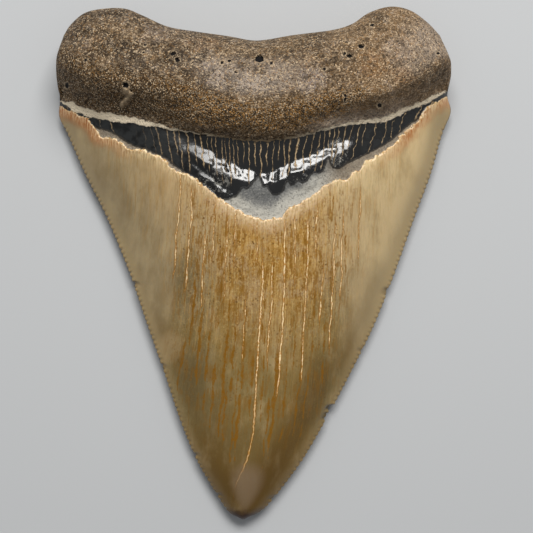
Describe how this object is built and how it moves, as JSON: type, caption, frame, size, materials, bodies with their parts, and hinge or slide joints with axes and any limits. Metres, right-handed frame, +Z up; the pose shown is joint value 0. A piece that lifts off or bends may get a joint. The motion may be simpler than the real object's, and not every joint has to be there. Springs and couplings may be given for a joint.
{
  "type": "fossil megalodon tooth",
  "caption": "Large triangular fossil shark tooth with serrated cutting edges, dark neck band and rough two-lobed root, lying on its flatter face.",
  "frame": {"origin": "middle of the bounding box, on the surface that the tooth lies on", "axes": "+Y from the tip towards the root, +Z up out of the swollen lingual face, +X towards the right cutting edge seen from above with the root away from the viewer"},
  "size_m": [0.0902, 0.1162, 0.024],
  "materials": {
    "fossil_tooth": "mineralised tooth: satin tan and olive enamel with amber growth streaks, glossy black cracked neck band, rough grainy brown root"
  },
  "bodies": {
    "root": {"tooth": "fossil_tooth"}
  },
  "joints": []
}
